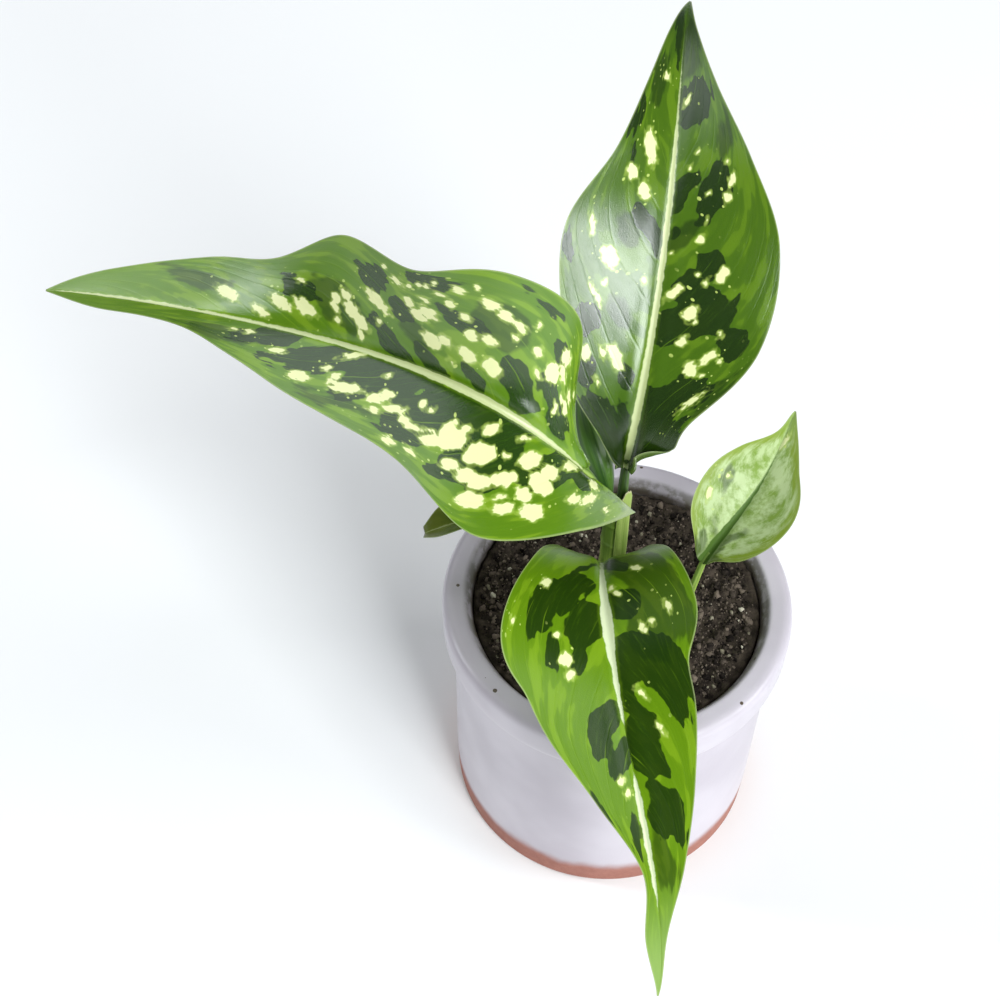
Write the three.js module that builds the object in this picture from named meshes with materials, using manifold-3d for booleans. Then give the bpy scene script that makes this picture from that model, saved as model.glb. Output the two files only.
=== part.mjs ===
// A young aroid house plant in a small round glazed pot, in millimetres, +Z up.
// The origin is the centre of the pot's flat underside, on the surface it stands on.
// +X is to the right and -Y is towards a person who looks at the plant.
import * as THREE from 'three';
import { mergeVertices } from 'three/addons/utils/BufferGeometryUtils.js';
import Module from 'manifold-3d';

const wasm = await Module();
wasm.setup();

// Sizes shared by pieces that meet: the pot and its soil, the cane and what grows from it.
const GAP = 0.3;
const ROUND_SIDES = 48;
const POT_HIGH = 90;
const RIM_R = 50;
const BORE_TOP_R = 41.4;
const BORE_FOOT_R = 40.5;
const FLOOR_THICK = 5;
const SOIL_TOP = 86;
const CANE_X = -2.8;
const CANE_Y = 3;
const CANE_R = 3.2;
const CANE_TOP = 128;
const CANE_FOOT = 60;
const SMALL_STALK_X = 18.5;
const SMALL_STALK_Y = -3;
const SMALL_STALK_R = 1.3;
const SMALL_STALK_FOOT = 70;

// Thin, leathery blades: thickness at the margin, and how far the midrib stands out below.
const BLADE_THICK = 0.8;
const RIB_DEEP = 1.3;
const TIP_HALF = 0.8;

// Each leaf is its midrib's control points, the roll of the blade about it in degrees, and for
// either half, at even steps from base to tip, its width, its lift out of the blade's plane in
// degrees, and how far its margin is swept towards the tip (minus is back, as a basal lobe).
const BACK_LEAF = {
  midrib: [[-1.5, 4, 140.5], [-1, -3, 158], [7.5, 33, 198.5], [-0.5, 75, 221], [2.5, 112, 209]],
  roll: [5, -5, 0],
  right: { wide: [1.5, 10.5, 13.5, 27, 28, 19, 9.5, 3.5, TIP_HALF], lift: [13, 12, 12, 16], sweep: [13, -6, 0, 0, 0] },
  left: { wide: [2, 9.5, 19.5, 24, 25.5, 15, 8.5, 4, TIP_HALF], lift: [12, 10, 15, 17], sweep: [4, 1, 0, 0, 0] },
};
const LEFT_LEAF = {
  midrib: [[-9, -5, 148], [-41, -15, 195], [-64, 20, 160], [-130, 27, 165], [-164, 34, 155]],
  roll: [-2, 26, 6],
  right: { wide: [3, 25, 35, 27, 27.5, 17.5, 16, 9, TIP_HALF], lift: [-10, 59, 34, -2, 23], sweep: [5, 0, 0, 0, 0] },
  left: { wide: [0.5, 17, 33.5, 24, 19, 13, 7.5, 6, TIP_HALF], lift: [11, 7, 16, 32, 9], sweep: [-21, -20, 0, 0, 0] },
};
const FRONT_LEAF = {
  midrib: [[-5, -11, 120], [-5, -30, 153], [-2, -63, 133], [23, -94, 104], [21, -106, 68]],
  roll: [9, -9, 9],
  right: { wide: [8.5, 16.5, 26.5, 22.5, 19, 10.5, 2.5, 4, TIP_HALF], lift: [15, 12, 8, 3], sweep: [-19, 11, 0, 0, 0] },
  left: { wide: [7, 17, 22.5, 18.5, 18, 14, 8, 1.5, TIP_HALF], lift: [11, 15, 6, 0], sweep: [-23, 6, 0, 0, 0] },
};
const SMALL_LEAF = {
  midrib: [[22, 2, 106], [29, 8, 122], [39, 17, 125], [40, 31, 129], [44, 42, 128]],
  roll: [0, -3, -1],
  right: { wide: [2.5, 10.5, 15, 8.5, 4, TIP_HALF], lift: [25, 19, 22, 24], sweep: [3, -4, 0, 0, 0] },
  left: { wide: [4, 11.5, 14, 10, 2.5, TIP_HALF], lift: [25, 21, 21, 26], sweep: [4, -2, 0, 0, 0] },
};
const LOW_LEAF = {
  midrib: [[-16, 9.5, 111], [-25, 10, 116], [-36, 8, 113], [-47, 6, 108], [-56, 5, 102]],
  roll: [0, 6, 0],
  right: { wide: [2, 6, 7.5, 7, 6, 6, 5.5, 2], lift: [50, 55, 45, 25], sweep: [0, 0, 0, 0, 0] },
  left: { wide: [2, 5, 6.5, 6, 5.5, 5.5, 5, 2], lift: [35, 40, 30, 15], sweep: [0, 0, 0, 0, 0] },
};

// Even Catmull-Rom interpolation of a list of values over 0 to 1.
function along(values, t) {
  const last = values.length - 1;
  const place = Math.min(Math.max(t, 0), 1) * last;
  const i = Math.min(Math.floor(place), last - 1);
  const f = place - i;
  const b = values[i];
  const c = values[i + 1];
  const a = i > 0 ? values[i - 1] : 2 * b - c;
  const d = i < last - 1 ? values[i + 2] : 2 * c - b;
  return b + 0.5 * f * (c - a + f * (2 * a - 5 * b + 4 * c - d + f * (3 * (b - c) + d - a)));
}

// Point and direction of a Bezier curve through any number of control points.
function bezier(controls, t) {
  let row = controls.map((p) => new THREE.Vector3(...p));
  let ahead = new THREE.Vector3();
  while (row.length > 1) {
    if (row.length === 2) {
      ahead = row[1].clone().sub(row[0]).normalize();
    }
    row = row.slice(1).map((p, i) => row[i].clone().lerp(p, t));
  }
  return { point: row[0], ahead };
}

// The blade's axes at a place on the midrib: ahead along it, across to the right, and up.
function bladeAxes(leaf, t) {
  const { point, ahead } = bezier(leaf.midrib, t);
  const base = leaf.midrib[0];
  const tip = leaf.midrib[leaf.midrib.length - 1];
  const level = new THREE.Vector3(tip[1] - base[1], base[0] - tip[0], 0).normalize();
  const across = level.addScaledVector(ahead, -level.dot(ahead)).normalize();
  across.applyAxisAngle(ahead, THREE.MathUtils.degToRad(-along(leaf.roll, t)));
  const up = across.clone().cross(ahead);
  return { point, ahead, across, up };
}

// A place on the blade: t runs from base to tip, u from -1 at the left margin to 1 at the right.
function bladePoint(leaf, t, u) {
  const { point, ahead, across, up } = bladeAxes(leaf, t);
  const half = u < 0 ? leaf.left : leaf.right;
  const out = Math.abs(u);
  const lift = THREE.MathUtils.degToRad(along(half.lift, t));
  const wide = along(half.wide, t);
  const top = point.clone();
  top.addScaledVector(across, Math.sign(u) * out * wide * Math.cos(lift));
  top.addScaledVector(up, out * wide * Math.sin(lift));
  top.addScaledVector(ahead, along(half.sweep, t) * out ** 1.5);
  const tilt = u === 0 ? 0 : lift * Math.sign(u);
  const normal = up.clone().multiplyScalar(Math.cos(tilt)).addScaledVector(across, -Math.sin(tilt));
  return { top, normal };
}

// A closed solid between two like grids of points, an upper or outer one and a lower or inner one.
// Both faces are split into triangles alike, and a wall closes them all round.
function solidBetween(upper, lower) {
  const rows = upper.length;
  const columns = upper[0].length;
  const positions = [...upper.flat(), ...lower.flat()].flatMap((p) => [p.x, p.y, p.z]);
  const under = rows * columns;
  const at = (i, j) => i * columns + j;
  const index = [];
  for (let i = 0; i < rows - 1; i += 1) {
    for (let j = 0; j < columns - 1; j += 1) {
      const quad = [at(i, j), at(i, j + 1), at(i + 1, j + 1), at(i + 1, j)];
      index.push(quad[0], quad[1], quad[2], quad[0], quad[2], quad[3]);
      index.push(under + quad[2], under + quad[1], under + quad[0]);
      index.push(under + quad[3], under + quad[2], under + quad[0]);
    }
  }
  const rim = [];
  for (let j = 0; j < columns - 1; j += 1) rim.push(at(0, j));
  for (let i = 0; i < rows - 1; i += 1) rim.push(at(i, columns - 1));
  for (let j = columns - 1; j > 0; j -= 1) rim.push(at(rows - 1, j));
  for (let i = rows - 1; i > 0; i -= 1) rim.push(at(i, 0));
  rim.forEach((a, k) => {
    const b = rim[(k + 1) % rim.length];
    index.push(a, under + a, under + b, a, under + b, b);
  });
  const geometry = new THREE.BufferGeometry();
  geometry.setAttribute('position', new THREE.Float32BufferAttribute(positions, 3));
  geometry.setIndex(index);
  return geometry;
}

// A leaf blade with its midrib standing out below.
function blade(leaf, steps) {
  const columns = [-1, -0.78, -0.55, -0.32, -0.1, 0, 0.1, 0.32, 0.55, 0.78, 1];
  const upper = [];
  const lower = [];
  for (let i = 0; i <= steps; i += 1) {
    const t = i / steps;
    const places = columns.map((u) => bladePoint(leaf, t, u));
    const rib = RIB_DEEP * (1 - t);
    upper.push(places.map((p) => p.top));
    lower.push(places.map((p, j) => {
      const thick = BLADE_THICK + (columns[j] === 0 ? rib : 0);
      return p.top.clone().addScaledVector(p.normal, -thick);
    }));
  }
  return solidBetween(upper, lower);
}

// A round stalk along a route, with its radius read off a list of even steps.
function stalk(route, radii, steps = 8, sides = 12) {
  const curve = new THREE.CatmullRomCurve3(route.map((p) => new THREE.Vector3(...p)));
  const frames = curve.computeFrenetFrames(steps, false);
  const positions = [];
  const index = [];
  for (let i = 0; i <= steps; i += 1) {
    const centre = curve.getPointAt(i / steps);
    const r = along(radii, i / steps);
    for (let j = 0; j < sides; j += 1) {
      const turn = (2 * Math.PI * j) / sides;
      const p = centre.clone().addScaledVector(frames.normals[i], r * Math.cos(turn));
      p.addScaledVector(frames.binormals[i], r * Math.sin(turn));
      positions.push(p.x, p.y, p.z);
    }
  }
  for (let i = 0; i < steps; i += 1) {
    for (let j = 0; j < sides; j += 1) {
      const a = i * sides + j;
      const b = i * sides + ((j + 1) % sides);
      index.push(a, b, b + sides, a, b + sides, a + sides);
    }
  }
  const end = steps * sides;
  for (let j = 1; j < sides - 1; j += 1) {
    index.push(0, j + 1, j);
    index.push(end, end + j, end + j + 1);
  }
  const geometry = new THREE.BufferGeometry();
  geometry.setAttribute('position', new THREE.Float32BufferAttribute(positions, 3));
  geometry.setIndex(index);
  return geometry;
}

function solid(geometry) {
  const bare = geometry.clone();
  bare.deleteAttribute('normal');
  bare.deleteAttribute('uv');
  const merged = mergeVertices(bare, 1e-4);
  return new wasm.Manifold(new wasm.Mesh({
    numProp: 3,
    vertProperties: new Float32Array(merged.attributes.position.array),
    triVerts: new Uint32Array(merged.index.array),
  }));
}

function geometryOf(manifold) {
  const mesh = manifold.getMesh();
  const geometry = new THREE.BufferGeometry();
  geometry.setAttribute('position', new THREE.BufferAttribute(mesh.vertProperties, 3));
  geometry.setIndex(new THREE.BufferAttribute(mesh.triVerts, 1));
  geometry.computeVertexNormals();
  return geometry;
}

// A stalk that runs up into the thick base of its blade's midrib, as one piece with it.
function leafOnStalk(leaf, steps, route, radii) {
  const { point, ahead, up } = bladeAxes(leaf, 0);
  const under = BLADE_THICK + 0.3;
  const joint = point.clone().addScaledVector(up, -under);
  const inside = joint.clone().addScaledVector(ahead, 4);
  const whole = [...route, joint.toArray(), inside.toArray()];
  return geometryOf(solid(blade(leaf, steps)).add(solid(stalk(whole, radii))));
}

// A surface of revolution about +Z from an outline of radius and height that starts and ends on it.
function turned(outline) {
  const geometry = new THREE.LatheGeometry(outline, ROUND_SIDES);
  geometry.rotateX(Math.PI / 2);
  return geometry;
}

// The pot: a straight body on a rounded foot, a rolled collar round its mouth, and a bore.
function pot() {
  const collarFoot = 78;
  const bodyTopR = 46.6;
  const footR = 47;
  const footRound = 2.5;
  const lipRound = 3.4;
  const mouthR = 43.2;
  const outline = new THREE.Path();
  outline.moveTo(0, 0);
  outline.lineTo(footR - footRound, 0);
  outline.quadraticCurveTo(footR, 0, footR, footRound);
  outline.lineTo(footR + 0.2, 12);
  outline.lineTo(bodyTopR, collarFoot - 6);
  outline.bezierCurveTo(bodyTopR, collarFoot - 2, RIM_R, collarFoot - 2, RIM_R, collarFoot + 3);
  outline.lineTo(RIM_R, POT_HIGH - lipRound);
  outline.quadraticCurveTo(RIM_R, POT_HIGH, RIM_R - lipRound, POT_HIGH);
  outline.lineTo(mouthR + 1.2, POT_HIGH);
  outline.quadraticCurveTo(mouthR, POT_HIGH, mouthR - 0.4, POT_HIGH - 1.2);
  outline.lineTo(BORE_TOP_R, SOIL_TOP);
  outline.lineTo(BORE_FOOT_R, 2 * FLOOR_THICK);
  outline.quadraticCurveTo(BORE_FOOT_R, FLOOR_THICK, BORE_FOOT_R - FLOOR_THICK, FLOOR_THICK);
  outline.lineTo(0, FLOOR_THICK);
  return turned(outline.getPoints(4));
}

// How far the soil's lumpy top stands above or below its level at a place.
function soilRelief(x, y) {
  const lumps = Math.sin(0.52 * x + 1.3) * Math.cos(0.47 * y - 0.6);
  const crumbs = Math.sin(1.1 * x - 0.9 * y) + Math.cos(0.8 * x + 1.25 * y + 2);
  return 0.9 * lumps + 0.35 * crumbs;
}

// The soil fills the pot to just under its mouth. Its top is lumpy, with plain holes for the stems.
function soil() {
  const top = SOIL_TOP - 0.6;
  const rings = 9;
  const outline = [
    new THREE.Vector2(0, FLOOR_THICK + GAP),
    new THREE.Vector2(BORE_FOOT_R - FLOOR_THICK - GAP, FLOOR_THICK + GAP),
    new THREE.Vector2(BORE_FOOT_R - 2 * GAP, 2 * FLOOR_THICK + GAP),
    new THREE.Vector2(BORE_TOP_R - GAP, top - 1),
  ];
  for (let i = 1; i <= rings; i += 1) {
    outline.push(new THREE.Vector2((BORE_TOP_R - 3 * GAP) * (1 - i / rings), top));
  }
  const body = turned(outline);
  const spots = body.attributes.position;
  for (let i = 0; i < spots.count; i += 1) {
    if (spots.getZ(i) > top - 0.1) {
      spots.setZ(i, top + soilRelief(spots.getX(i), spots.getY(i)));
    }
  }
  const hole = (x, y, r, foot) => {
    const high = POT_HIGH + 10 - foot;
    const cutter = new THREE.CylinderGeometry(r, r, high, 16);
    cutter.rotateX(Math.PI / 2);
    cutter.translate(x, y, foot + high / 2);
    return solid(cutter);
  };
  const filled = solid(body);
  const caneHole = hole(CANE_X, CANE_Y, CANE_R + 3 * GAP, CANE_FOOT - GAP);
  const stalkHole = hole(SMALL_STALK_X, SMALL_STALK_Y, SMALL_STALK_R + 2 * GAP, SMALL_STALK_FOOT - GAP);
  return geometryOf(filled.subtract(caneHole).subtract(stalkHole));
}

// The short upright cane, which the leaf stalks spring from.
function cane() {
  const route = [
    [CANE_X, CANE_Y, CANE_FOOT],
    [CANE_X, CANE_Y, SOIL_TOP],
    [CANE_X, CANE_Y, 108],
    [CANE_X, CANE_Y, CANE_TOP],
  ];
  return stalk(route, [CANE_R - 0.4, CANE_R, CANE_R, CANE_R], 9, 16);
}

// A papery sheath wrapped round the right and front of the cane, ending in a soft point.
function sheath() {
  const inner = CANE_R + GAP;
  const outer = inner + 0.7;
  const foot = 105;
  const shoulder = CANE_TOP - 6;
  const point = 14;
  const firstTurn = -80;
  const lastTurn = 80;
  const ringAt = (r, share) => {
    const row = [];
    for (let j = 0; j <= 10; j += 1) {
      const across = j / 10;
      const turn = THREE.MathUtils.degToRad(firstTurn + (lastTurn - firstTurn) * across);
      const top = shoulder + point * Math.sin(Math.PI * Math.sqrt(across)) ** 1.5;
      const z = foot + (top - foot) * share;
      row.push(new THREE.Vector3(CANE_X + r * Math.cos(turn), CANE_Y + r * Math.sin(turn), z));
    }
    return row;
  };
  const shares = [0, 0.25, 0.5, 0.7, 0.85, 1];
  return solidBetween(shares.map((s) => ringAt(outer, s)), shares.map((s) => ringAt(inner, s)));
}

// The tall leaf, which leans back from the top of the cane.
function backLeaf() {
  const route = [[CANE_X + 1.4, CANE_Y, CANE_TOP + GAP], [CANE_X + 1.4, CANE_Y + 0.3, 134]];
  return leafOnStalk(BACK_LEAF, 26, route, [1.7, 1.7, 1.5, 1.1]);
}

// The largest leaf, which arches out to the left.
function leftLeaf() {
  const side = CANE_X - CANE_R - GAP;
  const route = [[side - 1.6, CANE_Y - 1, 121], [side - 1.8, CANE_Y - 2.5, 129], [-8, -2.5, 138]];
  return leafOnStalk(LEFT_LEAF, 28, route, [1.4, 1.5, 1.5, 1.1]);
}

// The front leaf, which rises from low on the cane and hangs over the pot's rim.
function frontLeaf() {
  const route = [[CANE_X - 0.5, CANE_Y - CANE_R - GAP - 1.6, 97], [-3.4, -5.6, 106]];
  return leafOnStalk(FRONT_LEAF, 28, route, [1.5, 1.5, 1.5, 1.1]);
}

// The small new leaf at the right, on a thin stalk of its own out of the soil.
function smallLeaf() {
  const route = [
    [SMALL_STALK_X, SMALL_STALK_Y, SMALL_STALK_FOOT],
    [SMALL_STALK_X, SMALL_STALK_Y, 80],
    [SMALL_STALK_X + 0.2, SMALL_STALK_Y + 0.2, 88],
    [20.4, -0.4, 96],
  ];
  const radii = [SMALL_STALK_R, SMALL_STALK_R, 1.1, 0.9];
  return leafOnStalk(SMALL_LEAF, 18, route, radii);
}

// The old low leaf, folded along its length, which passes over the rim at the left.
function lowLeaf() {
  const route = [[CANE_X - CANE_R - GAP - 0.3, CANE_Y + 2, 116], [-11.5, 8.5, 113]];
  return leafOnStalk(LOW_LEAF, 14, route, [1.2, 1.2, 1.1, 0.9]);
}

// The next leaf, still rolled up, which leans back between the two large ones.
function rolledLeaf() {
  const foot = CANE_TOP + 1;
  const route = [[CANE_X - 2.1, CANE_Y + 0.8, foot], [-6.4, 5.4, 133.5], [-9, 8.5, 139], [-12.5, 15, 144], [-16, 23, 149]];
  return stalk(route, [1.1, 3.1, 4, 3, 0.5], 12, 12);
}

function finish(color, roughness) {
  return new THREE.MeshStandardMaterial({ color, roughness, metalness: 0 });
}

const plant = new THREE.Group();
function place(name, geometry, material) {
  const mesh = new THREE.Mesh(geometry, material);
  mesh.name = name;
  plant.add(mesh);
}

place('pot', pot(), finish('#d9d3de', 0.35));
place('soil', soil(), finish('#3a2e26', 0.95));
place('cane', cane(), finish('#8fae4e', 0.5));
place('sheath', sheath(), finish('#a9b98a', 0.6));
place('leaf_back', backLeaf(), finish('#55802c', 0.4));
place('leaf_left', leftLeaf(), finish('#6c9a35', 0.4));
place('leaf_front', frontLeaf(), finish('#64952f', 0.4));
place('leaf_small', smallLeaf(), finish('#8fb35a', 0.45));
place('leaf_low', lowLeaf(), finish('#59702a', 0.5));
place('leaf_rolled', rolledLeaf(), finish('#37601f', 0.45));

export default plant;
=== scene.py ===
import math
import bmesh
import bpy
import numpy as np
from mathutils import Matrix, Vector, noise


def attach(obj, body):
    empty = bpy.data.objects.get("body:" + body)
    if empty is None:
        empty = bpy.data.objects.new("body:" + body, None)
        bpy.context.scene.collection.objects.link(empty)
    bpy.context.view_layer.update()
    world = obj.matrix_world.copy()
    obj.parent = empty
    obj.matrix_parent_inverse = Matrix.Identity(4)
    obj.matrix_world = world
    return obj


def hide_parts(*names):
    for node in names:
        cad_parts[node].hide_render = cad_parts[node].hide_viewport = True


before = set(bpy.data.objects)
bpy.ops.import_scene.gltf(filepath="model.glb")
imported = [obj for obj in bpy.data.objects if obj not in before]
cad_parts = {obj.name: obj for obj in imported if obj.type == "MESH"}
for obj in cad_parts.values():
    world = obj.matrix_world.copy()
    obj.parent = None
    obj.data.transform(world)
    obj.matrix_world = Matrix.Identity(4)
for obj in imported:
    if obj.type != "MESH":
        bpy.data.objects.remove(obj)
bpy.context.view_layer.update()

# The pot is cast stoneware: a straight body on a rounded foot, with a rolled collar round its
# mouth and a plain bore. A milky glaze with a lilac cast covers it, and the clay shows bare in a
# band at the foot, where the glaze was wiped off before firing.
MM = 0.001
POT_HIGH = 90.0
COLLAR_FOOT = 78.0
RIM_R = 50.0
BODY_TOP_R = 46.6
FOOT_R = 47.0
FOOT_ROUND = 2.5
LIP_ROUND = 3.4
MOUTH_R = 43.2
BORE_TOP_R = 41.4
BORE_FOOT_R = 40.5
FLOOR_THICK = 5.0
SOIL_TOP = 86.0
POT_SIDES = 224
CLAY_BAND = 11.0
SOILED_FROM = 80.0


def bezier(controls, t):
    """Points and unit directions of a Bezier curve of any degree, at an array of places."""
    row = [np.broadcast_to(np.array(p, float), (len(t), len(p))) for p in controls]
    share = t[:, None]
    while len(row) > 1:
        ahead = row[1] - row[0]
        row = [a + (b - a) * share for a, b in zip(row, row[1:])]
    return row[0], ahead / np.linalg.norm(ahead, axis=1, keepdims=True)


def mesh_piece(name, points, faces, material, fields=None):
    """A smooth mesh of points in millimetres, with a named value at each point for its finish."""
    mesh = bpy.data.meshes.new(name)
    mesh.from_pydata((np.asarray(points) * MM).tolist(), [], [[int(i) for i in face] for face in faces])
    for label, values in (fields or {}).items():
        kind, part = ("FLOAT", "value") if np.ndim(values) == 1 else ("FLOAT_VECTOR", "vector")
        layer = mesh.attributes.new(label, kind, "POINT")
        layer.data.foreach_set(part, np.ravel(values).astype(np.float32))
    mesh.shade_smooth()
    mesh.materials.append(material)
    made = bpy.data.objects.new(name, mesh)
    bpy.context.scene.collection.objects.link(made)
    return made


def ring_faces(rings, sides):
    """The four-sided faces between rings of points, each with the same number of sides."""
    faces = []
    for i in range(rings - 1):
        for j in range(sides):
            k = (j + 1) % sides
            faces.append((i * sides + j, i * sides + k, (i + 1) * sides + k, (i + 1) * sides + j))
    return faces


def end_faces(rings, sides):
    """The fans that close the first and the last ring, on two middle points after the rings."""
    last = (rings - 1) * sides
    first_middle = rings * sides
    faces = []
    for j in range(sides):
        k = (j + 1) % sides
        faces.append((first_middle, k, j))
        faces.append((first_middle + 1, last + j, last + k))
    return faces


def turned(name, outline, sides, material):
    """A body of revolution about the pot's axis, from an outline that starts and ends on it."""
    ring = outline[1:-1]
    turn = np.linspace(0, 2 * np.pi, sides, endpoint=False)
    x = np.outer(ring[:, 0], np.cos(turn))
    y = np.outer(ring[:, 0], np.sin(turn))
    z = np.repeat(ring[:, 1:], sides, axis=1)
    middles = [[0, 0, outline[0, 1]], [0, 0, outline[-1, 1]]]
    points = np.vstack([np.stack([x, y, z], axis=-1).reshape(-1, 3), middles])
    faces = ring_faces(len(ring), sides) + end_faces(len(ring), sides)
    return mesh_piece(name, points, faces, material)


def fill(tree, sockets, values):
    """Sets sockets by name, each to a plain value or by a link from another node's socket."""
    for label, value in values.items():
        if isinstance(value, bpy.types.NodeSocket):
            tree.links.new(value, sockets[label])
        else:
            sockets[label].default_value = value


def put(tree, kind, inputs=None, **settings):
    """Adds a node with its inputs filled and its options set."""
    made = tree.nodes.new(kind)
    for label, value in settings.items():
        setattr(made, label, value)
    fill(tree, made.inputs, inputs or {})
    return made


def maths(tree, operation, *terms):
    return put(tree, "ShaderNodeMath", dict(enumerate(terms)), operation=operation).outputs[0]


def times(tree, first, second):
    return maths(tree, "MULTIPLY", first, second)


def rise(tree, value, low, high):
    """0 below low and 1 above high, with a soft step between."""
    inputs = {"Value": value, "From Min": low, "From Max": high}
    return put(tree, "ShaderNodeMapRange", inputs, interpolation_type="SMOOTHSTEP").outputs[0]


def spread(tree, value, low, high):
    """Stretches a value that runs from 0 to 1, so that it runs from low to high."""
    return put(tree, "ShaderNodeMapRange", {"Value": value, "To Min": low, "To Max": high}).outputs[0]


def mixed(tree, share, first, second):
    """One colour turning into another as share goes from 0 to 1."""
    return put(tree, "ShaderNodeMix", {0: share, 6: first, 7: second}, data_type="RGBA").outputs[2]


def stretched(tree, vector, scale):
    return put(tree, "ShaderNodeVectorMath", {0: vector, 1: scale}, operation="MULTIPLY").outputs[0]


def cloud(tree, vector, scale, detail=2.0, rough=0.5):
    inputs = {"Vector": vector, "Scale": scale, "Detail": detail, "Roughness": rough}
    return put(tree, "ShaderNodeTexNoise", inputs).outputs["Fac"]


def paint(red, green, blue):
    """A colour from its 0 to 255 values, as the shader's linear light."""
    parts = [c / 255 for c in (red, green, blue)]
    return (*[c / 12.92 if c < 0.04 else ((c + 0.055) / 1.055) ** 2.4 for c in parts], 1.0)


def new_material(name):
    """A node material, with its tree and its shader."""
    material = bpy.data.materials.new(name)
    material.use_nodes = True
    return material, material.node_tree, material.node_tree.nodes["Principled BSDF"]


def own_place(tree):
    return put(tree, "ShaderNodeTexCoord").outputs["Object"]


def new_group(name, inputs, outputs):
    """A node group with named inputs and outputs, which starts with its tree and both ends."""
    tree = bpy.data.node_groups.new(name, "ShaderNodeTree")
    for label, kind in inputs.items():
        tree.interface.new_socket(label, in_out="INPUT", socket_type="NodeSocket" + kind)
    for label, kind in outputs.items():
        tree.interface.new_socket(label, in_out="OUTPUT", socket_type="NodeSocket" + kind)
    return tree, tree.nodes.new("NodeGroupInput").outputs, tree.nodes.new("NodeGroupOutput").inputs


def placed(tree, group, inputs):
    """The outputs of a node group that is placed in a material with its own values."""
    return put(tree, "ShaderNodeGroup", inputs, node_tree=group).outputs


def roughened(tree, shader, strength, deep, height):
    """Gives a surface low relief, from a height between 0 and 1 and how deep that is in mm."""
    bump = put(tree, "ShaderNodeBump", {"Strength": strength, "Distance": deep * MM, "Height": height})
    tree.links.new(bump.outputs["Normal"], shader.inputs["Normal"])


def speck_group():
    """Small scattered dots of uneven size, such as dirt on a glaze or pores in a sheath."""
    inputs = {"Vector": "Vector", "Scale": "Float", "Size": "Float", "Share": "Float"}
    tree, given, wanted = new_group("Specks", inputs, {"Mask": "Float"})
    cell = put(tree, "ShaderNodeTexVoronoi", {"Vector": given["Vector"], "Scale": given["Scale"]})
    lot = put(tree, "ShaderNodeSeparateColor", {"Color": cell.outputs["Color"]}).outputs
    radius = times(tree, given["Size"], lot["Green"])
    inside = maths(tree, "LESS_THAN", cell.outputs["Distance"], radius)
    picked = maths(tree, "LESS_THAN", lot["Red"], given["Share"])
    fill(tree, wanted, {"Mask": times(tree, inside, picked)})
    return tree


specks = speck_group()


def glaze_material():
    """The glaze with faint clouds, and with the bare foot, the specks and the soiled lip."""
    material, tree, shader = new_material("milky glaze over clay")
    spot = own_place(tree)
    parts = put(tree, "ShaderNodeSeparateXYZ", {"Vector": spot}).outputs
    level = stretched(tree, spot, (1, 1, 0))
    radius = put(tree, "ShaderNodeVectorMath", {0: level}, operation="LENGTH").outputs["Value"]
    pooled = cloud(tree, spot, 26, 3)
    glaze = mixed(tree, rise(tree, pooled, 0.35, 0.68), paint(188, 181, 190), paint(205, 199, 207))
    ragged = maths(tree, "MULTIPLY_ADD", cloud(tree, spot, 90, 3), 5 * MM, parts["Z"])
    glazed = rise(tree, ragged, (CLAY_BAND - 0.6) * MM, (CLAY_BAND + 5.4) * MM)
    clay = mixed(tree, cloud(tree, spot, 420, 4, 0.7), paint(142, 88, 76), paint(182, 126, 110))
    body = mixed(tree, glazed, clay, glaze)
    dirt = placed(tree, specks, {"Vector": spot, "Scale": 330, "Size": 0.24, "Share": 0.08})["Mask"]
    upper = rise(tree, parts["Z"], SOILED_FROM * MM, (SOILED_FROM + 4) * MM)
    dotted = mixed(tree, times(tree, dirt, upper), body, paint(88, 76, 62))
    inward = rise(tree, radius, (MOUTH_R + 0.9) * MM, (MOUTH_R - 1.5) * MM)
    patchy = rise(tree, cloud(tree, spot, 190, 4, 0.65), 0.42, 0.56)
    line = times(tree, times(tree, inward, upper), patchy)
    bore = rise(tree, radius, (BORE_TOP_R + 0.9) * MM, BORE_TOP_R * MM)
    soiled = mixed(tree, times(tree, line, 0.75), dotted, paint(98, 94, 72))
    colour = mixed(tree, times(tree, times(tree, bore, upper), 0.8), soiled, paint(70, 60, 48))
    fill(tree, shader.inputs, {"Base Color": colour, "Roughness": spread(tree, glazed, 0.85, 0.3)})
    peel = maths(tree, "MULTIPLY_ADD", cloud(tree, spot, 900, 2), 0.35, cloud(tree, spot, 120, 2))
    roughened(tree, shader, 0.25, 0.3, peel)
    return material


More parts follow.
